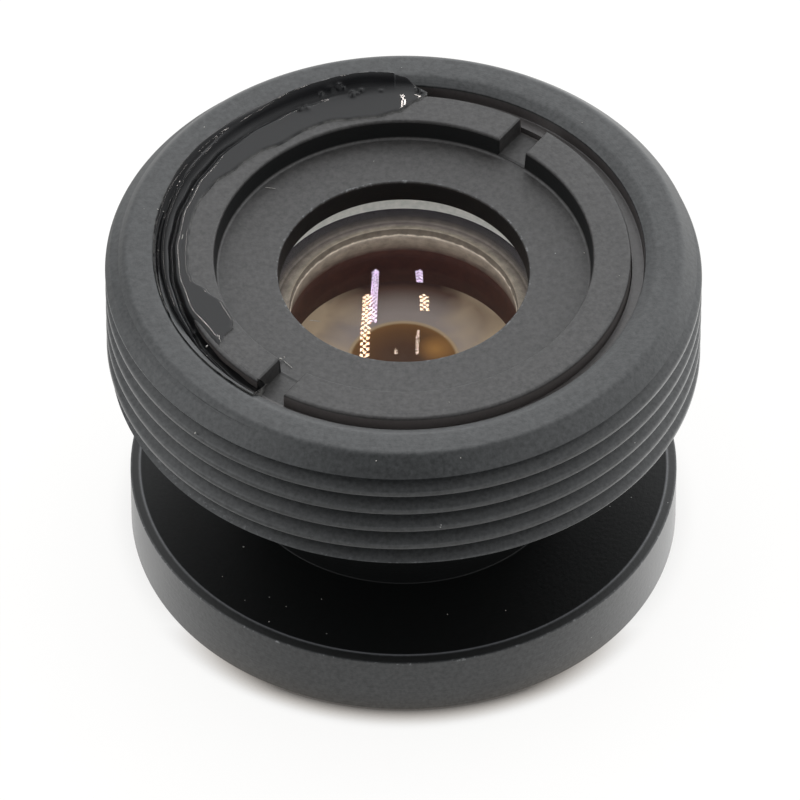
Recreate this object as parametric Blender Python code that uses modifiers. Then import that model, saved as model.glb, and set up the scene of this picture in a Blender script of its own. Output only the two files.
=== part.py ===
"""M12 board camera lens, standing on its front flange with the sensor end up.

The origin is the centre of the front face, +Z runs along the optical axis
towards the rear (sensor) end.  The black barrel is one turned piece: a front
flange, a slim neck and a rear section with the M12 x 0.5 mounting thread.
Every glass element is loaded from the rear, spaced by turned rings, and
clamped by one slotted retaining ring that is locked with a bead of adhesive.
"""
import math

import bmesh
import bpy

MM = 0.001

# Fit and facets
FIT = 0.02 * MM              # gap between pieces that touch on the real lens
TURN_STEPS = 48              # facets around the outer turned pieces
INNER_STEPS = 24             # facets around the hidden pieces
ARC_STEPS = 5                # segments along a curved glass surface
SHARP_ANGLE = 28.0           # degrees between faces that still shade as one

# Barrel, outside
THREAD_RADIUS = 5.97 * MM    # crest of the M12 thread, less its allowance
THREAD_PITCH = 0.5 * MM
THREAD_LENGTH = 3.1 * MM     # rear section, end face to underside
THREAD_START_STEP = 4        # facet step at which the thread's groove starts
REAR_CHAMFER = 0.39 * MM
LOWER_CHAMFER = 0.36 * MM
NECK_RADIUS = 3.4 * MM
NECK_LENGTH = 2.97 * MM
NECK_FILLET = 0.12 * MM
FLANGE_RADIUS = 5.55 * MM
FLANGE_HEIGHT = 1.43 * MM
FLANGE_RIM_WIDTH = 0.2 * MM  # sloping rim outside the flange's rear face
FLANGE_RIM_DROP = 0.06 * MM
FRONT_BREAK = 0.05 * MM      # broken edge round the front face

# Barrel, inside
NECK_WALL = 0.5 * MM
LIP_HEIGHT = 0.6 * MM        # front lip that the front element rests on
LIP_LEDGE = 0.7 * MM         # width of the lip's ledge
HOOD_FLARE = 1.1 * MM        # how much wider the opening is at the front face
REAR_WALL = 1.42 * MM        # thread crest to the retaining ring
RELIEF = 0.09 * MM           # thread relief above the retaining ring's bore
RELIEF_DEPTH = 0.45 * MM
COUNTERSINK = 0.31 * MM

# Retaining ring
RING_SUNK = 0.08 * MM        # ring's rear face below the barrel's rear face
RING_HEIGHT = 0.97 * MM
RING_RIM = 0.8 * MM          # width of the raised outer rim
RING_RECESS = 0.47 * MM
RING_LAND = 1.25 * MM        # width of the inner land round the bore
RING_BREAK = 0.04 * MM
SLOT_WIDTH = 0.65 * MM
SLOT_DEPTH = 0.42 * MM
SLOT_ANGLE = 54.5            # degrees from +X, the slots face each other

# Optical stack, front to rear
FRONT_EDGE = 0.7 * MM
FRONT_BULGE = 0.3 * MM
FRONT_HOLLOW = 0.38 * MM
SECOND_EDGE = 0.45 * MM
SECOND_BULGE = 0.1 * MM
THIRD_EDGE = 0.45 * MM
THIRD_BULGE = 0.08 * MM
CROWN_EDGE = 0.9 * MM
CROWN_BULGE = 0.1 * MM
CEMENTED_BULGE = 0.15 * MM
FLINT_RADIUS = 2.34 * MM
FLINT_EDGE = 0.75 * MM
FLINT_HOLLOW = 0.3 * MM
REAR_EDGE = 0.53 * MM
REAR_BULGE = 0.26 * MM
REAR_HOLLOW = 0.14 * MM
REAR_DOME_GAP = 0.06 * MM    # rear dome's clearance in the retaining ring's eye
CELL_LIP_WIDTH = 0.08 * MM   # lip of the rear spacer over the flint
CELL_LIP_TOP = 0.08 * MM     # lip's tip below the rear spacer's top
CELL_GROOVE_INSET = 0.2 * MM # deepest line of the seat's groove, inside the land
CELL_GROOVE_DEPTH = 0.16 * MM
CELL_LAND = 0.1 * MM         # flat land that the rear glass rests on
CELL_SEAT_GAP = 0.2 * MM     # room above the flint's rim, below the lip
STOP_THICKNESS = 0.06 * MM
STOP_RADIUS = 0.95 * MM
SPACER_WIDTH = 0.55 * MM     # radial width of the spacing rings
RIM_LEDGE = 0.6 * MM         # flat rim round each curved glass surface
FRONT_GAP = 0.354 * MM
STOP_GAP = 0.283 * MM
MIDDLE_GAP = 0.26 * MM

# Adhesive bead
BEAD_START_STEP = 11         # first and last facet step that the bead covers
BEAD_END_STEP = 29
BEAD_EDGE = 0.03 * MM        # least overlap on the ring and on the barrel
BEAD_INNER = 0.22 * MM       # most that it spreads over the ring
BEAD_OUTER = 0.34 * MM       # most that it spreads over the barrel's rear face
BEAD_HEIGHT = 0.14 * MM
BEAD_DEPTH = 0.16 * MM       # how far it fills the joint below the ring's face

# Heights and radii that follow from the sizes above
BARREL_TOP = FLANGE_HEIGHT + NECK_LENGTH + THREAD_LENGTH
NECK_TOP = FLANGE_HEIGHT + NECK_LENGTH
BORE_RADIUS = NECK_RADIUS - NECK_WALL
INNER_RADIUS = BORE_RADIUS - FIT
INNER_DOME = INNER_RADIUS - RIM_LEDGE
LIP_RADIUS = BORE_RADIUS - LIP_LEDGE
RING_RADIUS = THREAD_RADIUS - REAR_WALL
RING_BORE_RADIUS = RING_RADIUS + FIT
RELIEF_RADIUS = RING_BORE_RADIUS + RELIEF
FACE_INNER_RADIUS = RELIEF_RADIUS + COUNTERSINK
FACE_OUTER_RADIUS = THREAD_RADIUS - REAR_CHAMFER
RING_TOP = BARREL_TOP - RING_SUNK
RING_BOTTOM = RING_TOP - RING_HEIGHT
RECESS_RADIUS = RING_RADIUS - RING_RIM
RING_EYE_RADIUS = RECESS_RADIUS - RING_LAND

# 60 degree thread form: five eighths of the sharp height, flats of P/8 and P/4
THREAD_DEPTH = THREAD_PITCH * math.sqrt(3) / 2 * 5 / 8
CREST_FLAT = THREAD_PITCH / 8
ROOT_FLAT = THREAD_PITCH / 4


def clear_scene():
    for item in list(bpy.data.objects):
        bpy.data.objects.remove(item, do_unlink=True)


def make_collection(name):
    collection = bpy.data.collections.new(name)
    bpy.context.scene.collection.children.link(collection)
    return collection


def make_material(name, colour, roughness, metallic, transmission=0.0, ior=1.5):
    material = bpy.data.materials.new(name)
    material.use_nodes = True
    shader = material.node_tree.nodes["Principled BSDF"]
    shader.inputs["Base Color"].default_value = (*colour, 1.0)
    shader.inputs["Roughness"].default_value = roughness
    shader.inputs["Metallic"].default_value = metallic
    shader.inputs["Transmission Weight"].default_value = transmission
    shader.inputs["IOR"].default_value = ior
    material.diffuse_color = (*colour, 1.0)
    return material


def black_metal(name):
    """Satin black anodised aluminium."""
    return make_material(name, (0.035, 0.036, 0.038), 0.42, 0.6)


def coated_glass(name, ior):
    return make_material(name, (0.93, 0.95, 0.96), 0.02, 0.0, 1.0, ior)


def turned(name, outline, steps, closed, collection, material):
    """Turns an outline of (radius, height) points about the optical axis.

    The points run down the outer side.  An open outline starts and ends on
    the axis, a closed one goes back up the inner side.
    """
    mesh = bpy.data.meshes.new(name)
    points = [(radius, 0.0, height) for radius, height in outline]
    edges = [(i, i + 1) for i in range(len(points) - 1)]
    if closed:
        edges.append((len(points) - 1, 0))
    mesh.from_pydata(points, edges, [])
    item = bpy.data.objects.new(name, mesh)
    collection.objects.link(item)
    screw = item.modifiers.new("turn", "SCREW")
    screw.axis = "Z"
    screw.angle = math.tau
    screw.steps = steps
    screw.render_steps = steps
    screw.use_merge_vertices = True
    screw.merge_threshold = 0.000001
    mesh.materials.append(material)
    return item


def curve_points(edge_radius, edge_height, bulge):
    """Arc from the axis out to the edge, bulging up when bulge is positive."""
    if bulge == 0.0:
        return [(0.0, edge_height)]
    sphere = (edge_radius ** 2 + bulge ** 2) / (2 * abs(bulge))
    sign = math.copysign(1.0, bulge)
    points = []
    for i in range(ARC_STEPS):
        radius = edge_radius * i / ARC_STEPS
        rise = abs(bulge) - (sphere - math.sqrt(sphere ** 2 - radius ** 2))
        points.append((radius, edge_height + sign * rise))
    return points


def element(name, bottom, edge, front_bulge, rear_bulge, collection, ior,
            radius=INNER_RADIUS, front_dome=INNER_DOME, rear_dome=INNER_DOME, steps=INNER_STEPS):
    """Glass element, its two curved surfaces as wide as their domes.  A positive bulge swells outwards."""
    top = bottom + edge
    outline = curve_points(rear_dome, top, rear_bulge)
    outline += [(rear_dome, top), (radius, top), (radius, bottom)]
    if front_dome < radius:
        outline.append((front_dome, bottom))
    outline += curve_points(front_dome, bottom, -front_bulge)[::-1]
    glass = coated_glass(name + "_glass", ior)
    return turned(name, outline, steps, False, collection, glass)


def spacer(name, bottom, top, collection):
    """Plain turned ring that holds two elements apart in the neck's bore."""
    inner = INNER_RADIUS - SPACER_WIDTH
    outline = [
        (INNER_RADIUS, top),
        (INNER_RADIUS, bottom),
        (inner, bottom),
        (inner, top),
    ]
    return turned(name, outline, INNER_STEPS, True, collection, black_metal(name + "_black"))


def fillet(centre_radius, centre_height, start, end):
    """Points of a neck fillet, from start to end degrees about its centre."""
    points = []
    for i in range(4):
        angle = math.radians(start + (end - start) * i / 3)
        points.append((
            centre_radius + NECK_FILLET * math.cos(angle),
            centre_height + NECK_FILLET * math.sin(angle),
        ))
    return points


def barrel_outline():
    crest_top = BARREL_TOP - REAR_CHAMFER
    crest_bottom = NECK_TOP + LOWER_CHAMFER
    fillet_radius = NECK_RADIUS + NECK_FILLET
    outside = [
        (FACE_INNER_RADIUS, BARREL_TOP),
        (FACE_OUTER_RADIUS, BARREL_TOP),
        (THREAD_RADIUS, crest_top),
        (THREAD_RADIUS, crest_bottom),
        (THREAD_RADIUS - LOWER_CHAMFER, NECK_TOP),
    ]
    outside += fillet(fillet_radius, NECK_TOP - NECK_FILLET, 90, 180)
    outside += fillet(fillet_radius, FLANGE_HEIGHT + NECK_FILLET, 180, 270)
    outside += [
        (FLANGE_RADIUS - FLANGE_RIM_WIDTH, FLANGE_HEIGHT),
        (FLANGE_RADIUS, FLANGE_HEIGHT - FLANGE_RIM_DROP),
        (FLANGE_RADIUS, FRONT_BREAK),
        (FLANGE_RADIUS - FRONT_BREAK, 0.0),
    ]
    relief_bottom = BARREL_TOP - RELIEF_DEPTH
    thread_floor = RING_BOTTOM - RELIEF
    inside = [
        (LIP_RADIUS + HOOD_FLARE, 0.0),
        (LIP_RADIUS, LIP_HEIGHT),
        (BORE_RADIUS, LIP_HEIGHT),
        (BORE_RADIUS, thread_floor),
        (RING_BORE_RADIUS, thread_floor),
        (RING_BORE_RADIUS, relief_bottom),
        (RELIEF_RADIUS, relief_bottom),
        (RELIEF_RADIUS, BARREL_TOP - COUNTERSINK),
    ]
    return outside + inside


def thread_cutter(collection):
    """Helical groove of the M12 x 0.5 thread, a right-hand screw.

    It starts below the threaded section and runs out past the rear chamfer,
    turned by half a facet so that its corners miss the barrel's own.
    """
    step_angle = math.tau / TURN_STEPS
    start_height = NECK_TOP - THREAD_PITCH
    turns = math.ceil((THREAD_LENGTH + 2 * THREAD_PITCH) / THREAD_PITCH)
    reach = THREAD_RADIUS + 2 * FIT
    root = THREAD_RADIUS - THREAD_DEPTH
    half_mouth = (THREAD_PITCH - CREST_FLAT) / 2
    section = [
        (reach, half_mouth),
        (THREAD_RADIUS, half_mouth),
        (root, ROOT_FLAT / 2),
        (root, -ROOT_FLAT / 2),
        (THREAD_RADIUS, -half_mouth),
        (reach, -half_mouth),
    ]
    start_angle = step_angle * (THREAD_START_STEP + 0.5)
    shape = bmesh.new()
    corners = []
    for radius, height in section:
        x = radius * math.cos(start_angle)
        y = radius * math.sin(start_angle)
        corners.append(shape.verts.new((x, y, start_height + height)))
    loop = [shape.edges.new((corners[i - 1], corners[i])) for i in range(len(corners))]
    steps = turns * TURN_STEPS
    swept = bmesh.ops.spin(
        shape,
        geom=corners + loop,
        cent=(0.0, 0.0, 0.0),
        axis=(0.0, 0.0, 1.0),
        dvec=(0.0, 0.0, THREAD_PITCH / TURN_STEPS),
        angle=step_angle * steps,
        steps=steps,
    )
    last = [part for part in swept["geom_last"] if isinstance(part, bmesh.types.BMEdge)]
    bmesh.ops.contextual_create(shape, geom=loop)
    bmesh.ops.contextual_create(shape, geom=last)
    bmesh.ops.recalc_face_normals(shape, faces=shape.faces)
    return cutter_object("thread_cutter", shape, collection)


def slot_cutter(collection):
    """One bar across the ring that cuts both spanner slots."""
    shape = bmesh.new()
    bmesh.ops.create_cube(shape, size=1.0)
    length = 2 * (RING_RADIUS + SLOT_WIDTH)
    height = 2 * SLOT_DEPTH
    bmesh.ops.scale(shape, vec=(length, SLOT_WIDTH, height), verts=shape.verts)
    item = cutter_object("slot_cutter", shape, collection)
    item.location = (0.0, 0.0, RING_TOP)
    item.rotation_euler = (0.0, 0.0, math.radians(SLOT_ANGLE))
    return item


def cutter_object(name, shape, collection):
    mesh = bpy.data.meshes.new(name)
    shape.to_mesh(mesh)
    shape.free()
    item = bpy.data.objects.new(name, mesh)
    collection.objects.link(item)
    item.hide_render = True
    item.display_type = "WIRE"
    return item


def cut(item, cutter):
    boolean = item.modifiers.new(cutter.name, "BOOLEAN")
    boolean.operation = "DIFFERENCE"
    boolean.solver = "EXACT"
    boolean.object = cutter


def make_barrel(parts, cutters):
    item = turned("barrel", barrel_outline(), TURN_STEPS, True, parts, black_metal("barrel_black"))
    cut(item, thread_cutter(cutters))


def make_retaining_ring(parts, cutters):
    outline = [
        (RING_RADIUS - RING_BREAK, RING_TOP),
        (RING_RADIUS, RING_TOP - RING_BREAK),
        (RING_RADIUS, RING_BOTTOM),
        (RING_EYE_RADIUS, RING_BOTTOM),
        (RING_EYE_RADIUS, RING_TOP - RING_RECESS),
        (RECESS_RADIUS, RING_TOP - RING_RECESS),
        (RECESS_RADIUS, RING_TOP),
    ]
    metal = black_metal("retaining_ring_black")
    item = turned("retaining_ring", outline, TURN_STEPS, True, parts, metal)
    cut(item, slot_cutter(cutters))


def make_aperture_stop(bottom, parts):
    """Blackened foil washer between the stop spacer and the third element."""
    top = bottom + STOP_THICKNESS
    outline = [
        (INNER_RADIUS, top),
        (INNER_RADIUS, bottom),
        (STOP_RADIUS, bottom),
        (STOP_RADIUS, top),
    ]
    foil = make_material("aperture_stop_foil", (0.012, 0.012, 0.012), 0.7, 0.0)
    turned("aperture_stop", outline, INNER_STEPS, True, parts, foil)


def make_rear_spacer(bottom, top, parts):
    """Long ring round the flint, with a lip over its rim and a grooved seat for the rear glass."""
    bore = FLINT_RADIUS + FIT
    lip = bore - CELL_LIP_WIDTH
    land = INNER_RADIUS - CELL_LAND
    outline = [
        (INNER_RADIUS, top),
        (INNER_RADIUS, bottom),
        (bore, bottom),
        (bore, bottom + FLINT_EDGE + CELL_SEAT_GAP),
        (lip, top - CELL_LIP_TOP),
        (land - CELL_GROOVE_INSET, top - CELL_GROOVE_DEPTH),
        (land, top),
    ]
    turned("rear_spacer", outline, INNER_STEPS, True, parts, black_metal("rear_spacer_black"))


def make_optical_stack(parts):
    """Places each piece on the one before it, from the front lip to the ring."""
    eye = RING_EYE_RADIUS - REAR_DOME_GAP
    rear_bottom = RING_BOTTOM - FIT - REAR_EDGE

    height = LIP_HEIGHT + FIT
    element("front_element", height, FRONT_EDGE, FRONT_BULGE, -FRONT_HOLLOW, parts, 1.72,
            steps=TURN_STEPS)
    height += FRONT_EDGE + FIT
    spacer("front_spacer", height, height + FRONT_GAP, parts)
    height += FRONT_GAP + FIT
    element("second_element", height, SECOND_EDGE, 0.0, SECOND_BULGE, parts, 1.62)
    height += SECOND_EDGE + FIT
    spacer("stop_spacer", height, height + STOP_GAP, parts)
    height += STOP_GAP + FIT
    make_aperture_stop(height, parts)
    height += STOP_THICKNESS + FIT
    element("third_element", height, THIRD_EDGE, 0.0, THIRD_BULGE, parts, 1.59)
    height += THIRD_EDGE + FIT
    spacer("middle_spacer", height, height + MIDDLE_GAP, parts)
    height += MIDDLE_GAP + FIT
    element("doublet_crown", height, CROWN_EDGE, CROWN_BULGE, CEMENTED_BULGE, parts, 1.52,
            rear_dome=FLINT_RADIUS)
    height += CROWN_EDGE + FIT
    element("doublet_flint", height, FLINT_EDGE, -CEMENTED_BULGE, -FLINT_HOLLOW, parts, 1.75,
            radius=FLINT_RADIUS, front_dome=FLINT_RADIUS, rear_dome=FLINT_RADIUS - RIM_LEDGE)
    make_rear_spacer(height, rear_bottom - FIT, parts)
    element("rear_element", rear_bottom, REAR_EDGE, -REAR_HOLLOW, REAR_BULGE, parts, 1.6,
            rear_dome=eye, steps=TURN_STEPS)


def bead_section(share):
    """Bead outline at a share of its length, from the ring out to the barrel."""
    swell = math.sin(math.pi * share) ** 0.6
    thick_end = math.sin(math.pi * share ** 0.6) ** 1.5
    inner = RING_RADIUS - BEAD_EDGE - BEAD_INNER * swell
    outer = FACE_INNER_RADIUS + BEAD_EDGE + BEAD_OUTER * thick_end
    low = RING_TOP + FIT
    high = BARREL_TOP + FIT
    deep = max(RING_TOP - BEAD_DEPTH, BARREL_TOP - COUNTERSINK)
    cone_radius = FACE_INNER_RADIUS - (BARREL_TOP - deep) - 2 * FIT
    under = [
        (inner, low),
        (RING_RADIUS + FIT, low),
        (RING_RADIUS + FIT, deep),
        (cone_radius, deep),
        (FACE_INNER_RADIUS - FIT / 2, high),
        (outer, high),
    ]
    crown = BEAD_EDGE + (BEAD_HEIGHT - BEAD_EDGE) * swell
    over = []
    dome_steps = 6
    for i in range(dome_steps + 1):
        across = i / dome_steps
        radius = outer + (inner - outer) * across
        floor = high + (low - high) * across
        over.append((radius, floor + BEAD_EDGE / 2 + crown * math.sin(math.pi * across)))
    return under + over


def make_adhesive(parts):
    """Crescent of set adhesive over the joint between the ring and the barrel."""
    shape = bmesh.new()
    count = BEAD_END_STEP - BEAD_START_STEP
    loops = []
    for step in range(count + 1):
        angle = math.tau * (BEAD_START_STEP + step) / TURN_STEPS
        ring = []
        for radius, height in bead_section(step / count):
            x = radius * math.cos(angle)
            y = radius * math.sin(angle)
            ring.append(shape.verts.new((x, y, height)))
        loops.append(ring)
    for before, after in zip(loops, loops[1:]):
        for i in range(len(before)):
            shape.faces.new((before[i - 1], before[i], after[i], after[i - 1]))
    shape.faces.new(loops[0])
    shape.faces.new(loops[-1][::-1])
    bmesh.ops.recalc_face_normals(shape, faces=shape.faces)
    mesh = bpy.data.meshes.new("adhesive_bead")
    shape.to_mesh(mesh)
    shape.free()
    mesh.materials.append(make_material("adhesive_black", (0.012, 0.012, 0.013), 0.12, 0.0))
    parts.objects.link(bpy.data.objects.new("adhesive_bead", mesh))


def finish_surface(item):
    """Applies the modifiers, then shades the round faces smooth and keeps the edges."""
    graph = bpy.context.evaluated_depsgraph_get()
    mesh = bpy.data.meshes.new_from_object(item.evaluated_get(graph))
    item.modifiers.clear()
    item.data = mesh
    mesh.name = item.name
    mesh.shade_smooth()
    mesh.set_sharp_from_angle(angle=math.radians(SHARP_ANGLE))


def main():
    clear_scene()
    parts = make_collection("m12_board_camera_lens")
    cutters = make_collection("cutters")
    make_barrel(parts, cutters)
    make_retaining_ring(parts, cutters)
    make_optical_stack(parts)
    make_adhesive(parts)
    bpy.context.view_layer.update()
    for item in parts.objects:
        finish_surface(item)


main()
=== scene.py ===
"""Finished look of the M12 board camera lens, standing on its front flange."""
import math

import bmesh
import bpy
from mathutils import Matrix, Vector


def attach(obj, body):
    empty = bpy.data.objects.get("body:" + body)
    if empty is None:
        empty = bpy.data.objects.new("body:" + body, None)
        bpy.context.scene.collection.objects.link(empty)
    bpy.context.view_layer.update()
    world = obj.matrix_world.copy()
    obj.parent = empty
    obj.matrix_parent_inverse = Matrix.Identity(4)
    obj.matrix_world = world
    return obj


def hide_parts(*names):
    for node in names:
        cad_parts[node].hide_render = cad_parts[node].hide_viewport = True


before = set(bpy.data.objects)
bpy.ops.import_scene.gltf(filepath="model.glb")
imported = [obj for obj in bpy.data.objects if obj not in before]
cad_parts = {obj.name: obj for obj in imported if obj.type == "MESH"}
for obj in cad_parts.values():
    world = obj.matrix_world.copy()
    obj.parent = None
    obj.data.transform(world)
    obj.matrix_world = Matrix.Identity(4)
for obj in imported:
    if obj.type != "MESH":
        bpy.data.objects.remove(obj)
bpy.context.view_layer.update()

MM = 0.001
TURN_SEGMENTS = 256
SMOOTH_ANGLE = math.radians(13)
MERGE = 1e-7

# Light-emitting dots of the strips: spacing across and along, and height over the lens, in millimetres
DOT_ACROSS = 1.6
DOT_ALONG = 3.0
STRIP_HEIGHT = 200.0

# What the paper shines by itself to the camera
PAPER_GLOW = 0.87

# Sizes of the lens in millimetres, as in the CAD
BARREL_TOP = 7.5
FACE_INNER = 5.04
FACE_OUTER = 5.58
THREAD_CREST = 5.97
THREAD_PITCH = 0.5
THREAD_UNDERSIDE = 4.4
NECK = 3.4
FLANGE = 5.55
FLANGE_TOP = 1.43
RING_OUTER = 4.55
RING_TOP = 7.42
RING_BOTTOM = 6.45
RECESS_FLOOR = 6.95
EYE = 2.5


def linear(code):
    """Linear colour of an sRGB hex code."""
    parts = [int(code[i:i + 2], 16) / 255 for i in (1, 3, 5)]
    return (*[p / 12.92 if p <= 0.04045 else ((p + 0.055) / 1.055) ** 2.4 for p in parts], 1.0)


def feed(tree, made, settings):
    """Sets a node's properties and sockets. A socket given as the value is wired in."""
    for name, value in settings.items():
        if isinstance(value, bpy.types.NodeSocket):
            tree.links.new(value, made.inputs[name])
        elif isinstance(name, int) or name in made.inputs:
            made.inputs[name].default_value = value
        else:
            setattr(made, name, value)


def node(tree, kind, settings=None):
    """Adds a shader node with its settings and links."""
    made = tree.nodes.new(kind)
    feed(tree, made, settings or {})
    return made


def ranged(tree, value, low, high, first=0.0, last=1.0, ease="LINEAR"):
    """A value carried from one range to another, and held at both ends."""
    return node(tree, "ShaderNodeMapRange", {
        "interpolation_type": ease, "Value": value,
        "From Min": low, "From Max": high, "To Min": first, "To Max": last,
    }).outputs[0]


def maths(tree, operation, *values):
    """Result of an operation on numbers and sockets."""
    return node(tree, "ShaderNodeMath", {"operation": operation, **dict(enumerate(values))}).outputs[0]


def mixed(tree, share, first, second):
    """Value that goes from the first to the second by a share."""
    return node(tree, "ShaderNodeMix", {"data_type": "FLOAT", 0: share, 2: first, 3: second}).outputs[0]


def tinted(tree, share, first, second):
    """Colour that goes from the first to the second by a share. A hex code is turned linear."""
    first, second = [linear(end) if isinstance(end, str) else end for end in (first, second)]
    return node(tree, "ShaderNodeMix", {"data_type": "RGBA", 0: share, 6: first, 7: second}).outputs[2]


def scaled(tree, vector, amount):
    return node(tree, "ShaderNodeVectorMath", {"operation": "SCALE", 0: vector, "Scale": amount}).outputs[0]


def noise(tree, place, scale, detail=2.0, roughness=0.5, distortion=0.0):
    """Cloudy pattern between 0 and 1. The scale is in patches a millimetre."""
    return node(tree, "ShaderNodeTexNoise", {
        "Vector": place, "Scale": scale, "Detail": detail, "Roughness": roughness, "Distortion": distortion,
    }).outputs[0]


def banded(tree, value, stops):
    """Colour ramp along a value, from (place, hex colour) stops."""
    ramp = node(tree, "ShaderNodeValToRGB", {0: value})
    elements = ramp.color_ramp.elements
    while len(elements) < len(stops):
        elements.new(0.5)
    for element, (place, code) in zip(elements, stops):
        element.position = place
        element.color = linear(code)
    return ramp.outputs[0]


def material(name):
    made = bpy.data.materials.new(name)
    made.use_nodes = True
    return made, made.node_tree, made.node_tree.nodes["Principled BSDF"]


# Modelling steps shared by the turned pieces

def soften(corners):
    """Outline of (radius, height, rounding) corners with each corner cut back to a fine arc."""
    points = []
    for i, (radius, height, rounding) in enumerate(corners):
        here = Vector((radius, height))
        if not rounding:
            points.append((radius, height))
            continue
        before = (Vector(corners[i - 1][:2]) - here).normalized()
        after = (Vector(corners[(i + 1) % len(corners)][:2]) - here).normalized()
        bend = math.pi - before.angle(after)
        steps = max(3, math.ceil(2 * math.tan(bend / 2) / math.radians(11)))
        first, last = here + before * rounding, here + after * rounding
        for k in range(steps + 1):
            t = k / steps
            point = first * (1 - t) ** 2 + here * 2 * t * (1 - t) + last * t ** 2
            points.append((point.x, point.y))
    return points


def draw_outline(name, outline, closed):
    """Extrudes one point along an outline in the XZ plane, and stays in edit mode."""
    bpy.ops.object.select_all(action="DESELECT")
    bpy.ops.mesh.primitive_circle_add(vertices=3, radius=MM)
    piece = bpy.context.object
    piece.name = piece.data.name = name
    bpy.ops.object.mode_set(mode="EDIT")
    bpy.ops.mesh.select_all(action="SELECT")
    bpy.ops.mesh.merge(type="CENTER")
    x, z = outline[0]
    bpy.ops.transform.translate(value=(x * MM, 0, z * MM))
    for next_x, next_z in outline[1:] + outline[:1] * closed:
        move = ((next_x - x) * MM, 0, (next_z - z) * MM)
        bpy.ops.mesh.extrude_vertices_move(TRANSFORM_OT_translate={"value": move})
        x, z = next_x, next_z
    bpy.ops.mesh.select_all(action="SELECT")
    bpy.ops.mesh.remove_doubles(threshold=MERGE)
    return piece


def close_piece(piece):
    """Merges the seam, turns the faces outwards and shades the round ones smooth."""
    bpy.ops.mesh.select_all(action="SELECT")
    bpy.ops.mesh.remove_doubles(threshold=MERGE)
    bpy.ops.mesh.normals_make_consistent(inside=False)
    bpy.ops.object.mode_set(mode="OBJECT")
    bpy.ops.object.shade_smooth_by_angle(angle=SMOOTH_ANGLE)
    return piece


def turned(name, outline, closed=True, segments=TURN_SEGMENTS):
    piece = draw_outline(name, outline, closed)
    bpy.ops.mesh.select_all(action="SELECT")
    bpy.ops.mesh.spin(steps=segments, angle=math.tau, center=(0, 0, 0), axis=(0, 0, 1))
    return close_piece(piece)


def keep_flats(piece):
    """Lets the normals of the broad faces win, so that a flat beside a small rounding stays flat."""
    weighted = piece.modifiers.new("flats", "WEIGHTED_NORMAL")
    weighted.keep_sharp = True
    weighted.weight = 90
    bpy.ops.object.modifier_apply(modifier=weighted.name)


def cut_away(piece, cutter):
    boolean = piece.modifiers.new("cut", "BOOLEAN")
    boolean.operation = "DIFFERENCE"
    boolean.solver = "EXACT"
    boolean.object = cutter
    bpy.ops.object.select_all(action="DESELECT")
    piece.select_set(True)
    bpy.context.view_layer.objects.active = piece
    bpy.ops.object.modifier_apply(modifier=boolean.name)
    bpy.data.objects.remove(cutter)
    bpy.ops.object.shade_smooth_by_angle(angle=SMOOTH_ANGLE)
    keep_flats(piece)


def refinish(part, finish):
    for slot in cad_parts[part].material_slots:
        slot.material = finish


def finish_piece(piece, finish, nodes):
    piece.data.materials.clear()
    piece.data.materials.append(finish)
    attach(piece, "root")
    if nodes:
        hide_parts(*nodes)


def along(table, at):
    """Values at a place along a table of (place, values) rows, eased from row to row."""
    at = min(max(at, table[0][0]), table[-1][0])
    for low, high in zip(table, table[1:]):
        if at <= high[0]:
            share = (at - low[0]) / (high[0] - low[0])
            share = share * share * (3 - 2 * share)
            return [a + (b - a) * share for a, b in zip(low[1:], high[1:])]


def between(table, at):
    return along(table, at)[0]


# Pieces

def thread_cutter():
    """Right-hand V groove of the mounting thread, which runs out at both ends of the threaded part."""
    start = 4.09
    section = soften([
        (6.03, 0.249, 0), (5.972, 0.249, 0), (5.972, 0.19, 0.058), (5.662, 0.011, 0.009),
        (5.662, -0.011, 0.009), (5.972, -0.19, 0.058), (5.972, -0.249, 0), (6.03, -0.249, 0),
    ])
    section = [(radius, start + height) for radius, height in section]
    piece = draw_outline("thread_cutter", section, True)
    bpy.ops.object.mode_set(mode="OBJECT")
    screw = piece.modifiers.new("thread", "SCREW")
    screw.axis = "Z"
    screw.angle = math.tau
    screw.screw_offset = THREAD_PITCH * MM
    screw.iterations = 9
    screw.steps = screw.render_steps = TURN_SEGMENTS
    bpy.ops.object.modifier_apply(modifier=screw.name)
    piece.rotation_euler.z = math.pi / TURN_SEGMENTS
    bpy.ops.object.transform_apply(rotation=True)
    bpy.ops.object.mode_set(mode="EDIT")
    bpy.ops.mesh.select_all(action="SELECT")
    bpy.ops.mesh.fill_holes(sides=0)
    return close_piece(piece)


def make_barrel(finish):
    corners = [
        (FACE_INNER, BARREL_TOP, 0.07), (FACE_OUTER, BARREL_TOP, 0.08),
        (THREAD_CREST, 7.11, 0.015), (THREAD_CREST, 4.77, 0.015), (5.61, THREAD_UNDERSIDE, 0.015),
        (NECK, THREAD_UNDERSIDE, 0.14), (NECK, FLANGE_TOP, 0.03),
        (5.36, FLANGE_TOP, 0.01), (FLANGE, 1.37, 0.02), (FLANGE, 0.0, 0.05),
        (3.3, 0.0, 0.03), (2.2, 0.6, 0.015), (2.9, 0.6, 0), (2.9, 6.36, 0), (4.57, 6.36, 0),
        (4.57, 7.12, 0), (4.81, 7.12, 0.02), (4.83, 7.4, 0.02),
    ]
    piece = turned("barrel_body", soften(corners))
    cut_away(piece, thread_cutter())
    finish_piece(piece, finish, ["barrel"])


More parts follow.
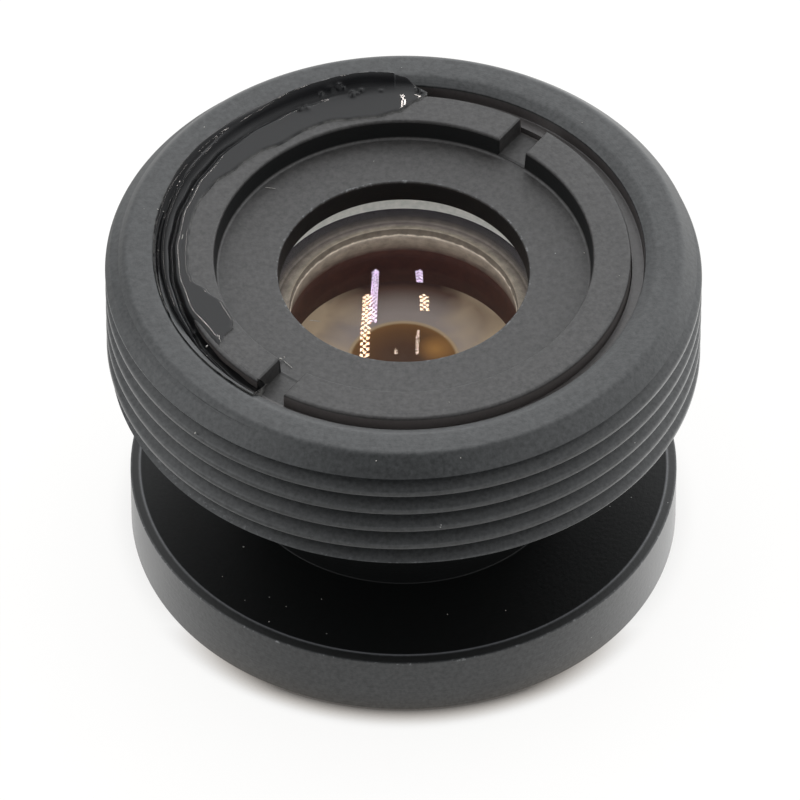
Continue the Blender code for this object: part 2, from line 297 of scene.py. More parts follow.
def slot_cutter():
    """One bar across the ring, with lips that break the edges of both spanner slots."""
    half = [(0.325, 7.0), (0.325, 7.39), (0.355, 7.423), (0.355, 7.7)]
    section = half + [(-across, height) for across, height in half[::-1]]
    piece = draw_outline("slot_cutter", section, True)
    bpy.ops.mesh.select_all(action="SELECT")
    bpy.ops.mesh.edge_face_add()
    bpy.ops.transform.translate(value=(0, -5.2 * MM, 0))
    bpy.ops.mesh.extrude_region_move(TRANSFORM_OT_translate={"value": (0, 10.4 * MM, 0)})
    bpy.ops.object.mode_set(mode="OBJECT")
    piece.rotation_euler.z = math.radians(54.5 - 90)
    bpy.ops.object.transform_apply(rotation=True)
    bpy.ops.object.mode_set(mode="EDIT")
    return close_piece(piece)


def make_retaining_ring(finish):
    corners = [
        (RING_OUTER, RING_TOP, 0.08), (RING_OUTER, RING_BOTTOM, 0.03), (EYE, RING_BOTTOM, 0.01),
        (2.52, RECESS_FLOOR, 0.03), (3.74, RECESS_FLOOR, 0.05), (3.8, RING_TOP, 0.04),
    ]
    piece = turned("retaining_ring_body", soften(corners))
    cut_away(piece, slot_cutter())
    finish_piece(piece, finish, ["retaining_ring"])


def bump_at(at, centre, width):
    return math.exp(-((at - centre) / width) ** 2)


# Edges of the adhesive in degrees round the axis and millimetres from it
BEAD_START, BEAD_END = 84.0, 233.0
BEAD_OUTER_EDGE = [
    (84, 4.62), (86, 4.7), (90, 4.95), (93, 5.03), (99, 5.1), (105, 5.07), (110, 5.05), (122, 5.05),
    (135, 5.08), (143, 5.11), (150, 5.11), (159, 5.07), (167, 5.05), (181, 5.0), (200, 4.98), (233, 4.95),
]
BEAD_INNER_EDGE = [
    (84, 4.54), (86, 4.36), (91.5, 4.03), (98, 3.91), (105, 3.94), (111.6, 4.04), (119, 4.02),
    (127.8, 3.96), (135, 4.07), (144, 4.13), (153, 4.29), (160.6, 4.345), (168, 4.338), (176, 4.294),
    (185, 4.3), (190, 4.26), (194.5, 4.04), (200.7, 3.83), (207.4, 3.82), (211.4, 3.95), (213.1, 4.25),
    (215, 4.44), (233, 4.5),
]
# Ridge of the adhesive: angle, radius, height, inner and outer width
BEAD_RIDGE = [
    (84, 4.85, 0.0, 0.1, 0.05), (92, 4.97, 0.05, 0.26, 0.05), (101, 5.0, 0.1, 0.3, 0.06),
    (118, 4.97, 0.1, 0.28, 0.08), (127, 4.86, 0.1, 0.16, 0.13), (150, 4.8, 0.1, 0.12, 0.14),
    (166, 4.78, 0.065, 0.09, 0.08), (200, 4.76, 0.04, 0.08, 0.06),
]
# Furrows on both sides of it: angle, inner depth, outer depth, width
BEAD_FURROWS = [
    (100, 0.0, 0.0, 0.045), (122, 0.05, 0.0, 0.045), (150, 0.09, 0.03, 0.045), (180, 0.12, 0.08, 0.05),
    (197, 0.16, 0.12, 0.06), (212, 0.3, 0.28, 0.11), (233, 0.34, 0.3, 0.13),
]
# Evenly leaning crest of the bead: slope, and the x where it has the ridge's own height
CREST_SLOPE, CREST_MIDDLE = 0.0375, -1.9
CREST_END, CREST_START = -3.0, -0.86
# Trapped bubbles: x, y, size and height
BUBBLES = [
    (-1.49, 4.53, 0.07, 0.05), (-1.3, 4.6, 0.05, 0.06), (-1.21, 4.57, 0.035, 0.04),
    (-1.03, 4.47, 0.06, 0.05), (-0.86, 4.56, 0.04, 0.05), (-0.93, 4.49, 0.03, 0.03),
    (-1.99, 4.1, 0.09, 0.04), (-2.1, 4.06, 0.05, 0.04), (-0.45, 4.58, 0.035, 0.03),
    (-1.66, 4.42, 0.04, 0.04), (0.3, 4.62, 0.05, 0.05), (0.36, 4.56, 0.03, 0.03),
    (-4.15, -2.0, 0.05, 0.05), (-3.9, -2.6, 0.06, 0.05),
]


def adhesive_height(angle, radius):
    """Height of the set adhesive: a thin film on the ring and a bead in the joint."""
    turn = math.radians(angle)
    place, rise, inside, outside = along(BEAD_RIDGE, angle)
    place += 0.008 * math.sin(turn * 17) + 0.003 * math.sin(turn * 41 + 1)
    rise *= 1 + 0.012 * math.sin(turn * 29) + 0.004 * math.sin(turn * 67 + 2)
    if angle > 92:
        x = min(max(radius * math.cos(turn), CREST_END), CREST_START)
        rise += CREST_SLOPE * (x - CREST_MIDDLE)
    inner_depth, outer_depth, width = along(BEAD_FURROWS, angle)
    height = between([(4.52, RING_TOP), (4.98, BARREL_TOP)], radius)
    height += 0.02 + 0.02 * between([(84, 0.2), (92, 1.0), (150, 1.0), (175, 0.45), (233, 0.1)], angle)
    height += rise * bump_at(radius, place, inside if radius < place else outside)
    height -= inner_depth * bump_at(radius, 4.63 + 0.01 * math.sin(turn * 31), width)
    height -= outer_depth * bump_at(radius, 4.9, width)
    for x, y, size, swell in BUBBLES:
        away = math.hypot(radius * math.cos(turn) - x, radius * math.sin(turn) - y) / size
        if away < 3:
            height += swell * (1 + 0.5 * math.sin(x * 40 + turn * 97)) * math.exp(-away ** 2)
    return height


def make_adhesive(finish):
    """Polar sheet over the joint, thickened and pulled down to a rounded lip at its edges."""
    across, lengthwise = 64, 360
    bpy.ops.object.select_all(action="DESELECT")
    bpy.ops.mesh.primitive_grid_add(x_subdivisions=lengthwise, y_subdivisions=across, size=1)
    piece = bpy.context.object
    piece.name = piece.data.name = "adhesive_crescent"
    bpy.ops.object.mode_set(mode="EDIT")
    bpy.ops.mesh.select_all(action="SELECT")
    bpy.ops.mesh.extrude_region_move(TRANSFORM_OT_translate={"value": (0, 0, 1)})
    bpy.ops.object.mode_set(mode="OBJECT")
    rim = piece.data.attributes.new("rim", "FLOAT", "POINT")
    for vertex in piece.data.vertices:
        angle = BEAD_START + (BEAD_END - BEAD_START) * (vertex.co.x + 0.5)
        outer = between(BEAD_OUTER_EDGE, angle)
        inner = between(BEAD_INNER_EDGE, angle)
        share = vertex.co.y + 0.5
        radius = inner + (outer - inner) * share
        under = RING_TOP if radius < 4.55 else (BARREL_TOP if radius > 4.97 else RING_TOP - 0.2)
        edge = min(radius - inner, outer - radius, (angle - BEAD_START) * 0.06, (BEAD_END - angle) * 0.06)
        lip = min(max(edge / 0.07, 0.0), 1.0)
        lip = math.sqrt(1 - (1 - lip) ** 2)
        top = adhesive_height(angle, radius)
        rest = between([(4.52, RING_TOP), (4.98, BARREL_TOP)], radius)
        top = rest + 0.002 + (top - rest) * lip
        height = top if vertex.co.z > 0.5 else min(under - 0.002, top - 0.003)
        turn = math.radians(angle)
        vertex.co = (radius * math.cos(turn) * MM, radius * math.sin(turn) * MM, height * MM)
        rim.data[vertex.index].value = 1 - lip
    bpy.ops.object.mode_set(mode="EDIT")
    close_piece(piece)
    finish_piece(piece, finish, ["adhesive_bead"])


def dome(edge_radius, edge_height, rise, steps=14):
    """Points of a spherical surface from the axis out to its edge."""
    if rise == 0:
        return [(0.0, edge_height)]
    sphere = (edge_radius ** 2 + rise ** 2) / (2 * abs(rise))
    points = []
    for i in range(steps):
        radius = edge_radius * i / steps
        drop = sphere - math.sqrt(sphere ** 2 - radius ** 2)
        points.append((radius, edge_height + rise - math.copysign(drop, rise)))
    return points


def paint_faces(piece, finish, wanted):
    """Gives a second finish to the faces whose centre (radius, height in mm) is wanted."""
    piece.data.materials.append(finish)
    last = len(piece.data.materials) - 1
    for face in piece.data.polygons:
        radius = math.hypot(face.center.x, face.center.y) / MM
        if wanted(radius, face.center.z / MM):
            face.material_index = last


def make_glass(rear_coat, inner_coat, hollow_coat, cement, ground, cell_black, veil):
    """Rear glass with its ground edge, the long ring below it, the flint's hollow and the veiled pupil."""
    rear = dome(2.49, 6.425, 0.265) + [
        (2.49, 6.425), (2.79, 6.425), (2.86, 6.36), (2.82, 5.93), (2.8, 5.9), (2.3, 5.9),
    ] + dome(2.24, 5.74, 0.16)[::-1]
    piece = turned("rear_glass", rear, closed=False)
    finish_piece(piece, rear_coat, ["rear_element"])
    paint_faces(piece, inner_coat, lambda radius, height: height < 6 and radius < 2.3)
    paint_faces(piece, ground, lambda radius, height: radius > 2.79)
    seat = [
        (2.87, 5.87, 0), (2.79, 5.87, 0.01), (2.7, 5.81, 0.01), (2.66, 5.8, 0.01), (2.57, 5.72, 0.02),
        (2.28, 5.83, 0.02), (2.29, 5.68, 0.015), (2.27, 5.66, 0.01), (2.3, 5.57, 0.02), (2.33, 5.2, 0.02),
        (2.36, 5.15, 0.02), (2.36, 4.25, 0), (2.87, 4.25, 0),
    ]
    finish_piece(turned("rear_seat_ring", soften(seat)), cell_black, ["rear_spacer"])
    hollow = dome(1.74, 4.985, -0.3) + [(1.74, 4.985), (2.33, 4.985), (2.33, 4.255)]
    hollow += dome(2.33, 4.255, 0.15)[::-1]
    piece = turned("hollow_glass", hollow, closed=False)
    finish_piece(piece, hollow_coat, ["doublet_flint"])
    paint_faces(piece, cement, lambda radius, height: height < 4.5 or radius > 1.75)
    pupil = dome(2.34, 4.217, 0.15) + [(2.34, 4.217), (2.87, 4.217), (2.87, 3.32)]
    pupil += dome(2.28, 3.32, -0.1)[::-1]
    finish_piece(turned("pupil_glass", pupil, closed=False), veil, ["doublet_crown"])


# Dust and fibres that lie on the lens: x, y, z and size in millimetres
SPECKS = [
    (-3.23, -2.39, 1.43, 0.024), (-3.65, -3.21, 1.43, 0.014), (-2.36, -4.03, 1.43, 0.013),
    (-2.7, -4.45, 1.43, 0.02), (0.88, -4.25, 1.43, 0.014), (2.05, -4.14, 1.43, 0.013),
    (-1.65, -3.83, 1.43, 0.012), (-3.19, -3.86, 1.43, 0.013), (-4.87, 1.15, 7.5, 0.022),
    (-2.44, -2.51, 7.0, 0.045), (-2.37, -2.46, 7.0, 0.03), (3.62, 0.5, 6.95, 0.018),
    (-4.12, -4.32, 6.77, 0.03), (-3.9, -2.6, 7.46, 0.03), (4.6, 2.9, 7.44, 0.014),
    (-0.54, -5.68, 7.4, 0.016), (1.12, -5.62, 7.42, 0.016), (-4.02, 3.52, 7.5, 0.015),
    (3.6, 3.65, 7.5, 0.014), (-5.2, 1.2, 7.5, 0.012), (2.3, -2.9, 6.95, 0.013),
    (-0.6, 3.1, 6.95, 0.012), (0.9, -4.1, 7.42, 0.012), (4.3, -0.6, 7.42, 0.013),
]
# Fibres: x, y, z, length and direction in degrees
FIBRES = [
    (-4.87, 1.15, 7.505, 0.16, 150), (-2.68, 2.33, 6.955, 0.2, 170), (-2.3, -2.62, 6.97, 0.26, 310),
    (-1.77, -0.99, 6.53, 0.2, 172), (-4.42, 0.35, 7.56, 0.12, 80),
]


def make_dust(finish):
    """Specks shaped once from a small ball, and fibres from a thin rod, copied to where they lie."""
    bpy.ops.object.select_all(action="DESELECT")
    bpy.ops.mesh.primitive_ico_sphere_add(subdivisions=2, radius=MM)
    ball = bpy.context.object
    bpy.ops.mesh.primitive_cylinder_add(vertices=8, radius=0.006 * MM, depth=MM)
    rod = bpy.context.object
    chosen = []
    for x, y, z, size in SPECKS:
        speck = ball.copy()
        speck.data = ball.data.copy()
        speck.location = (x * MM, y * MM, (z + size * 0.2) * MM)
        speck.rotation_euler = (x, y, x * y)
        speck.scale = (size * (0.8 + 0.3 * math.sin(x * 9)), size * 0.7, size * 0.5)
        chosen.append(speck)
    for x, y, z, length, direction in FIBRES:
        fibre = rod.copy()
        fibre.data = rod.data.copy()
        fibre.location = (x * MM, y * MM, (z + 0.004) * MM)
        fibre.rotation_euler = (math.pi / 2, 0, math.radians(direction + 90))
        fibre.scale = (1, 1, length)
        chosen.append(fibre)
    bpy.ops.object.select_all(action="DESELECT")
    for made in chosen:
        bpy.context.scene.collection.objects.link(made)
        made.select_set(True)
    bpy.context.view_layer.objects.active = chosen[0]
    bpy.ops.object.join()
    dust = bpy.context.object
    dust.name = dust.data.name = "dust_and_fibres"
    bpy.ops.object.transform_apply(location=True, rotation=True, scale=True)
    bpy.ops.object.shade_smooth_by_angle(angle=math.radians(50))
    for used in (ball, rod):
        bpy.data.objects.remove(used)
    dust.data.materials.clear()
    dust.data.materials.append(finish)
    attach(dust, "root")


# Studio

def make_studio():
    bpy.ops.object.select_all(action="DESELECT")
    bpy.ops.mesh.primitive_plane_add(size=0.8, location=(0, 0, -0.00002))
    floor = bpy.context.object
    floor.name = "floor"
    floor.data.materials.append(white_paper())
    make_led_strip("led_strip_left", -19.8, 128, 211)
    make_led_strip("led_strip_right", 11.3, 186, 211)


def make_led_strip(name, x, low, high):
    """Strip of staggered light-emitting dots, three across, that the glass and the adhesive mirror."""
    light, tree, shader = material(name)
    ray = node(tree, "ShaderNodeLightPath").outputs
    feed(tree, shader, {
        "Base Color": (0, 0, 0, 1), "Emission Color": linear("#fff6f0"),
        "Emission Strength": ranged(tree, ray["Is Singular Ray"], 0.0, 1.0, 2.0, 34.0),
    })
    rows = round((high - low) / DOT_ALONG)
    bpy.ops.object.select_all(action="DESELECT")
    bpy.ops.mesh.primitive_grid_add(x_subdivisions=3, y_subdivisions=rows, size=1)
    strip = bpy.context.object
    strip.name = name
    strip.scale = (3 * DOT_ACROSS * MM, rows * DOT_ALONG * MM, 1)
    bpy.ops.object.transform_apply(location=False, rotation=False, scale=True)
    strip.location = (x * MM, (low + high) / 2 * MM, STRIP_HEIGHT * MM)
    bpy.ops.object.mode_set(mode="EDIT")
    bpy.ops.mesh.select_mode(type="FACE")
    bpy.ops.mesh.select_all(action="DESELECT")
    shape = bmesh.from_edit_mesh(strip.data)
    for face in shape.faces:
        middle = face.calc_center_median()
        column = math.floor(middle.x / (DOT_ACROSS * MM) + 1.5)
        row = math.floor(middle.y / (DOT_ALONG * MM) + rows / 2)
        face.select = (column + row) % 2 == 1
    bmesh.update_edit_mesh(strip.data)
    bpy.ops.mesh.delete(type="FACE")
    bpy.ops.mesh.select_mode(type="VERT")
    bpy.ops.object.mode_set(mode="OBJECT")
    strip.data.materials.append(light)
    strip.visible_camera = False
    strip.visible_diffuse = False


def white_paper():
    """Matt white paper, near white to the camera, with a painted shadow: a warm dark contact line from
    ambient occlusion, kept in front of the flange, and to a gloss a painted shade in front of the lens and
    painted light behind it and to the right."""
    sheet, tree, shader = material("white_paper_sweep")
    feed(tree, shader, {"Base Color": linear("#f6f5f3"), "Roughness": 0.9, "Specular IOR Level": 0.2})
    place = node(tree, "ShaderNodeTexCoord").outputs["Object"]
    x, y, _ = node(tree, "ShaderNodeSeparateXYZ", {0: place}).outputs
    # Painted contact shadow: ambient occlusion dims the paper's glow next to the lens, and it is kept only
    # in front of the flange
    contact = node(tree, "ShaderNodeAmbientOcclusion", {"Distance": 0.55 * MM, "samples": 16})
    painted_contact_shade = ranged(tree, contact.outputs["AO"], 0.5, 0.97, 0.06, PAPER_GLOW)
    painted_contact_shade = mixed(tree, ranged(tree, y, -5 * MM, -3.2 * MM, 0.0, 0.9), painted_contact_shade, PAPER_GLOW)
    # Painted shade and light for gloss rays: darker in front of the lens, brighter behind it and to the
    # right, dimmer far off
    painted_gloss_light_and_shade = ranged(tree, y, -5.4 * MM, -2 * MM, 0.6, 1.4)
    for along_axis, low, high, first, last in (
        (y, 3, 15, 1.0, 0.68), (y, -12, -7, 0.7, 1.0), (x, -8, 8, 0.95, 1.45),
    ):
        share = ranged(tree, along_axis, low * MM, high * MM, first, last)
        painted_gloss_light_and_shade = maths(tree, "MULTIPLY", painted_gloss_light_and_shade, share)
    ray = node(tree, "ShaderNodeLightPath").outputs
    strength = mixed(tree, ray["Is Glossy Ray"], painted_contact_shade, painted_gloss_light_and_shade)
    # Painted shadow colour: warmer where the painted contact shadow is dark
    warmth = tinted(tree, ranged(tree, painted_contact_shade, 0.06, 0.8), (1.0, 0.9, 0.8, 1.0), (1.0, 0.995, 0.985, 1.0))
    glow = node(tree, "ShaderNodeEmission", {"Color": warmth, "Strength": strength}).outputs[0]
    shade = node(tree, "ShaderNodeBsdfDiffuse", {"Color": (0.16, 0.16, 0.16, 1)}).outputs[0]
    seen = node(tree, "ShaderNodeAddShader", {0: shade, 1: glow}).outputs[0]
    either = maths(tree, "MAXIMUM", ray["Is Camera Ray"], ray["Is Glossy Ray"])
    either = maths(tree, "MAXIMUM", either, ray["Is Transmission Ray"])
    mix = node(tree, "ShaderNodeMixShader", {0: either, 1: shader.outputs[0], 2: seen}).outputs[0]
    tree.links.new(mix, tree.nodes["Material Output"].inputs["Surface"])
    return sheet


# Lights and dark places of the tent: direction, the cosines between which they rise, and strength
TENT_LOBES = [
    ((0.0, 0.77, 0.64), 0.45, 0.97, 1.25),
    ((-0.9, -0.1, 0.45), 0.7, 0.97, 0.9),
    ((-0.6, 0.7, 0.28), 0.7, 0.98, -0.5),
    ((0.62, -0.5, 0.6), 0.75, 0.98, 0.35),
    ((0.9, 0.3, 0.2), 0.6, 0.97, 0.7),
]
CAMERA_SIDE = (0, -0.695, 0.719)


def toward(tree, place, direction):
    """Cosine of the angle between a place on the tent and a direction."""
    way = Vector(direction).normalized()
    made = node(tree, "ShaderNodeVectorMath", {"operation": "DOT_PRODUCT", 0: place, 1: way})
    return made.outputs["Value"]


def make_world():
    """Soft light tent: a bright panel high behind the lens, white walls low down, dark round the camera."""
    world = bpy.data.worlds.new("studio")
    bpy.context.scene.world = world
    world.use_nodes = True
    tree = world.node_tree
    place = node(tree, "ShaderNodeTexCoord").outputs["Generated"]
    height = node(tree, "ShaderNodeSeparateXYZ", {0: place}).outputs[2]
    level = ranged(tree, height, 0.12, 0.42, 1.1, 0.52, "SMOOTHSTEP")
    for direction, low, high, strength in TENT_LOBES:
        lobe = ranged(tree, toward(tree, place, direction), low, high, 0.0, strength, "SMOOTHSTEP")
        level = maths(tree, "ADD", level, lobe)
    hole = ranged(tree, toward(tree, place, CAMERA_SIDE), 0.9, 0.99, 1.0, 0.35, "SMOOTHSTEP")
    level = maths(tree, "MULTIPLY", level, hole)
    ray = node(tree, "ShaderNodeLightPath").outputs
    dim = ranged(tree, ray["Is Singular Ray"], 0.0, 1.0, 1.0, 0.06)
    level = mixed(tree, ray["Is Camera Ray"], maths(tree, "MULTIPLY", level, dim), 1.0)
    feed(tree, tree.nodes["Background"], {"Color": (0.97, 0.985, 1.0, 1.0), "Strength": level})


def make_camera():
    data = bpy.data.cameras.new("camera")
    camera = bpy.data.objects.new("camera", data)
    bpy.context.scene.collection.objects.link(camera)
    data.sensor_width = 36
    data.lens = 556.5
    data.clip_start, data.clip_end = 0.01, 5
    camera.location = (-0.000072, -0.17341, 0.18330)
    camera.rotation_euler = (math.radians(43.92), 0, 0)
    bpy.context.scene.camera = camera


# Finishes

def millimetres(tree):
    """Object coordinates in millimetres, the height, and the distance from the optical axis."""
    place = scaled(tree, node(tree, "ShaderNodeTexCoord").outputs["Object"], 1000.0)
    x, y, height = node(tree, "ShaderNodeSeparateXYZ", {0: place}).outputs
    flat = node(tree, "ShaderNodeCombineXYZ", {0: x, 1: y}).outputs[0]
    radius = node(tree, "ShaderNodeVectorMath", {"operation": "LENGTH", 0: flat}).outputs["Value"]
    return place, height, radius


def zone(tree, value, low, high, soft=0.015):
    """1 where a value lies between two limits, fading out past both."""
    rise = ranged(tree, value, low - soft, low + soft)
    fall = ranged(tree, value, high - soft, high + soft, 1.0, 0.0)
    return maths(tree, "MULTIPLY", rise, fall)


def within(tree, radius, height, limits):
    """1 inside a ring, given by its inner and outer radius and its low and high height."""
    inner, outer, low, high = limits
    return maths(tree, "MULTIPLY", zone(tree, radius, inner, outer), zone(tree, height, low, high))


def anodised(name, tint, light_tint, roughness, painted_light_zones, worn, painted_shade_places):
    """Satin black anodised aluminium: a soft grey sheen on black, mottled grain and fine turning marks.
    Tinted bands are a lighter tint, painted light on shaded walls and a painted highlight on an edge, worn
    edges are rubbed pale in patches, shaded places get a painted shade, near black and hardly shining, and
    a few tiny specks are bright."""
    made, tree, shader = material(name)
    place, height, radius = millimetres(tree)
    grain = noise(tree, place, 11.0, 3.0, 0.6)
    colour = tinted(tree, noise(tree, place, 1.3, 4.0), tint, light_tint)
    colour = scaled(tree, colour, ranged(tree, grain, 0.3, 0.7, 0.72, 1.28))
    # Painted light: bands of a lighter tint on shaded walls, and a painted highlight on an edge
    for *limits, code in painted_light_zones:
        colour = tinted(tree, within(tree, radius, height, limits), colour, code)
    rub = noise(tree, place, 8.0, 4.0, 0.7)
    for *limits, start, code in worn:
        patch = ranged(tree, rub, start, start + 0.12)
        share = maths(tree, "MULTIPLY", within(tree, radius, height, limits), patch)
        colour = tinted(tree, share, colour, code)
    shine = ranged(tree, grain, 0.3, 0.7, 0.41, 0.59)
    # Painted shade: places that lie in shade turn near black and hardly shine
    for *limits, level in painted_shade_places:
        share = within(tree, radius, height, limits)
        colour = tinted(tree, share, colour, "#0b0c0c")
        shine = mixed(tree, share, shine, level)
    speck = node(tree, "ShaderNodeTexVoronoi", {"Vector": place, "Scale": 2.6}).outputs
    near = maths(tree, "LESS_THAN", speck["Distance"], 0.035)
    chance = node(tree, "ShaderNodeSeparateColor", {0: speck["Color"]}).outputs[0]
    share = maths(tree, "MULTIPLY", near, maths(tree, "GREATER_THAN", chance, 0.86))
    turning = maths(tree, "MULTIPLY_ADD", height, 1.7, radius)
    turning = node(tree, "ShaderNodeTexNoise", {
        "noise_dimensions": "1D", "W": turning, "Scale": 14.0, "Detail": 2.0,
    }).outputs[0]
    relief = maths(tree, "MULTIPLY_ADD", turning, 0.5, grain)
    bump = node(tree, "ShaderNodeBump", {"Strength": 0.35, "Distance": 0.012 * MM, "Height": relief})
    feed(tree, shader, {
        "Base Color": tinted(tree, share, colour, "#8d8c8a"), "Specular IOR Level": shine, "IOR": 1.7,
        "Roughness": ranged(tree, grain, 0.0, 1.0, roughness - 0.06, roughness + 0.06),
        "Normal": bump.outputs[0],
    })
    return made


def set_adhesive():
    """Cured black adhesive: softly shining film, black bead under a clear wet-looking skin, and a painted
    highlight, pale in patches, where the edge feathers out."""
    made, tree, shader = material("cured_black_adhesive")
    place, _, radius = millimetres(tree)
    rim = node(tree, "ShaderNodeAttribute", {"attribute_name": "rim"}).outputs["Fac"]
    # Painted highlight: the feathered edge is painted pale in patches
    rim_highlight = maths(tree, "MULTIPLY", rim, ranged(tree, noise(tree, place, 4.0, 3.0), 0.35, 0.6))
    ripple = noise(tree, place, 3.0, 3.0)
    bump = node(tree, "ShaderNodeBump", {"Strength": 0.3, "Distance": 0.01 * MM, "Height": ripple})
    feed(tree, shader, {
        "Base Color": tinted(tree, rim_highlight, "#09090b", "#6e6d6a"), "IOR": 1.42,
        "Roughness": ranged(tree, radius, 4.68, 4.74, 0.3, 0.11),
        "Specular IOR Level": ranged(tree, radius, 4.68, 4.78, 0.5, 0.14),
        "Coat Weight": 0.7, "Coat Roughness": 0.0, "Normal": bump.outputs[0],
    })
    return made


def clear_glass(name, tint, gloss_tint, low, high):
    """Coated optical glass that leaves the view unbent: clear, with a faint coloured mirror on it that
    grows from its low to its high share where the glass is seen at a slant."""
    made, tree, shader = material(name)
    tree.nodes.remove(shader)
    facing = node(tree, "ShaderNodeLayerWeight", {"Blend": 0.5}).outputs["Facing"]
    share = ranged(tree, maths(tree, "POWER", facing, 4.0), 0.0, 1.0, low, high)
    clear = node(tree, "ShaderNodeBsdfTransparent", {"Color": linear(tint)}).outputs[0]
    mirror = node(tree, "ShaderNodeBsdfGlossy", {"Color": linear(gloss_tint), "Roughness": 0.0}).outputs[0]
    mix = node(tree, "ShaderNodeMixShader", {0: share, 1: clear, 2: mirror}).outputs[0]
    tree.links.new(mix, tree.nodes["Material Output"].inputs["Surface"])
    return made


def house_dust():
    """Lint and dust: a matt, slightly mottled off-white that stands out on the black."""
    made, tree, shader = material("off_white_dust")
    mottle = noise(tree, millimetres(tree)[0], 30.0)
    colour = banded(tree, mottle, [(0.3, "#8d8a84"), (0.7, "#c9c6c0")])
    feed(tree, shader, {"Base Color": colour, "Roughness": 0.9})
    return made


def painted_glow(tree, shader, colour, roughness):
    """Colour that also shines by itself: a painted glow for parts that the glass floods with light."""
    feed(tree, shader, {
        "Base Color": colour, "Emission Color": colour, "Emission Strength": 0.8, "Roughness": roughness,
    })


def ground_glass():
    """Ground edge of the rear glass: a matt pale grey with a painted glow for the light inside the glass.
    """
    made, tree, shader = material("ground_glass_edge")
    grain = noise(tree, millimetres(tree)[0], 9.0, 3.0)
    painted_glow(tree, shader, banded(tree, grain, [(0.3, "#8b8d8a"), (0.7, "#9c9b98")]), 0.7)
    return made


def seat_metal():
    """Turned ring below the rear glass, whose colours are painted light, shade and reflection: black rough
    bevel, pale groove of painted light, thin bright lip that is a painted highlight, with blotches, and a
    brown wall under it, painted darker lower down; the whole ring has a painted glow."""
    made, tree, shader = material("turned_ring_under_rear_glass")
    place, height, radius = millimetres(tree)
    wobble = maths(tree, "MULTIPLY_ADD", noise(tree, place, 7.0, 3.0), 0.06, -0.03)
    level = maths(tree, "ADD", height, wobble)
    # Painted light and shade down the wall: dark brown low down, lighter upwards, a painted highlight for
    # the bright lip, then darker at the top
    wall = banded(tree, ranged(tree, level, 4.25, 5.85), [
        (0.0, "#24110b"), (0.4, "#2a150e"), (0.57, "#321b14"), (0.62, "#4a3f39"), (0.7, "#5f5750"),
        (0.8, "#766e66"), (0.855, "#8b837b"), (0.87, "#aaa198"), (0.885, "#aba299"),
        (0.895, "#5d5750"), (1.0, "#514b45"),
    ])
    # Painted light across the top: pale at the inner groove, darker out to the black bevel
    top = banded(tree, ranged(tree, radius, 2.28, 2.8), [
        (0.0, "#8a837a"), (0.06, "#847c73"), (0.2, "#757067"), (0.42, "#625c56"), (0.54, "#4a4540"),
        (0.6, "#58534d"), (0.66, "#3c3832"), (0.74, "#2e2b26"), (0.8, "#22211e"), (1.0, "#171715"),
    ])
    outside, above = maths(tree, "GREATER_THAN", radius, 2.3), maths(tree, "GREATER_THAN", height, 5.66)
    tone = tinted(tree, maths(tree, "MULTIPLY", outside, above), wall, top)
    blotch = ranged(tree, noise(tree, place, 5.0, 4.0, 0.65), 0.35, 0.65, 0.72, 1.2)
    # Painted glow: the ring shines by itself in its painted colours
    painted_glow(tree, shader, scaled(tree, tone, blotch), 0.6)
    return made


def pupil_veil():
    """Coated surface round the pupil, with a painted glow: a pale veil that is a painted reflection of the
    paper, browner at the edge, warm painted reflections at the sides, and an amber pupil with a painted
    pool of light.
    """
    made, tree, shader = material("amber_pupil_glass")
    place, _, radius = millimetres(tree)
    share = ranged(tree, radius, 0.0, 2.34)
    # Painted reflection of the paper: a pale veil, browner towards the edge
    veil = banded(tree, share, [
        (0.0, "#79747a"), (0.6, "#767276"), (0.74, "#6a6567"), (0.85, "#544b4a"), (0.93, "#402f2b"),
        (1.0, "#241410"),
    ])
    # Painted reflections: warm patches that grow out towards both sides
    side = maths(tree, "ABSOLUTE", node(tree, "ShaderNodeSeparateXYZ", {0: place}).outputs[0])
    painted_side_reflection = maths(tree, "MULTIPLY_ADD", noise(tree, place, 1.1, distortion=0.6), 1.6, side)
    veil = tinted(tree, ranged(tree, painted_side_reflection, 1.6, 2.5, 0.0, 0.75), veil, "#988c7c")
    # Painted light through the lens: the pupil's brown and amber bands, ringed with cream
    pupil = banded(tree, share, [
        (0.0, "#2f1c13"), (0.2, "#392415"), (0.36, "#4a3219"), (0.45, "#5a4022"), (0.475, "#8f816d"),
        (0.5, "#7d7672"),
    ])
    # Painted light: a warm amber pool in the pupil, off the axis
    spot = node(tree, "ShaderNodeVectorMath", {"operation": "DISTANCE", 0: place, 1: (0.65, 0.35, 4.35)})
    glow = ranged(tree, spot.outputs["Value"], 0.0, 0.42, 0.8, 0.0)
    pupil = tinted(tree, glow, pupil, "#8f6a38")
    painted_glow(tree, shader, tinted(tree, maths(tree, "LESS_THAN", share, 0.5), veil, pupil), 0.6)
    return made


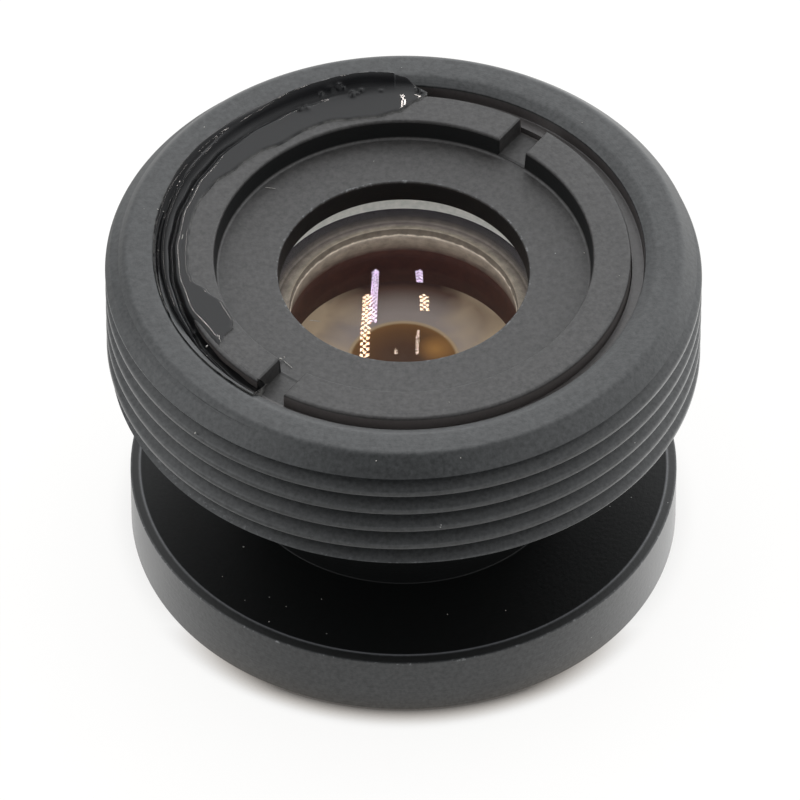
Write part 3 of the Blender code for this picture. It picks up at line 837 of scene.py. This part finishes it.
bpy.context.scene.view_settings.view_transform = "Standard"
make_camera()
make_studio()
make_world()

# Bands of painted light, worn edges and places of painted shade begin with inner and outer radius and low
# and high height
barrel_black = anodised(
    "satin_black_anodised_aluminium", "#131516", "#1c1f20", 0.42,
    # Painted light on the barrel's walls in the shaded gap by the ring, and a painted highlight on the
    # flange's edge
    [(4.5, 4.87, 6.0, 7.36, "#454140"), (5.33, 5.37, 1.41, 1.45, "#5b5c5f")],
    [(5.945, 6.05, 4.8, 7.1, 0.66, "#5c5d5e"), (5.7, 6.05, 4.5, 4.79, 0.56, "#4d4e50"),
     (5.52, 5.6, 1.34, 1.43, 0.56, "#6a6b6c")],
    # Painted shade on the neck, the flange's top and the underside of the threaded part
    [(3.2, 5.34, 1.36, 4.46, 0.15), (5.39, 5.52, 1.36, 1.45, 0.25)],
)
ring_black = anodised(
    "warm_black_anodised_aluminium", "#252322", "#2d2b2a", 0.52,
    # Painted light on the ring's outer wall in the shaded gap
    [(4.52, 4.7, 6.0, 7.36, "#5c5755")],
    [(2.46, 2.56, 6.9, 7.05, 0.53, "#6a6b6c")],
    # Painted shade on the wall of the eye and the wall of the recess
    [(2.4, 2.53, 6.3, 6.91, 0.15), (3.72, 3.81, 7.0, 7.36, 0.15)],
)
for part in ("front_spacer", "stop_spacer", "middle_spacer", "aperture_stop"):
    refinish(part, ring_black)
make_barrel(barrel_black)
make_retaining_ring(ring_black)
make_adhesive(set_adhesive())
make_glass(
    clear_glass("violet_coated_glass", "#fffefc", "#e6d8ff", 0.05, 0.3),
    clear_glass("pink_coated_glass", "#fffefa", "#ffe6c8", 0.06, 0.3),
    clear_glass("clear_coated_glass", "#fffcf8", "#fff4ee", 0.035, 0.15),
    clear_glass("cemented_glass_face", "#fffdfa", "#ffffff", 0.0, 0.0),
    ground_glass(), seat_metal(), pupil_veil(),
)

front_coat = clear_glass("green_coated_glass", "#f4fbf6", "#c8ffd8", 0.2, 0.7)
for part in ("front_element", "second_element", "third_element"):
    refinish(part, front_coat)

make_dust(house_dust())
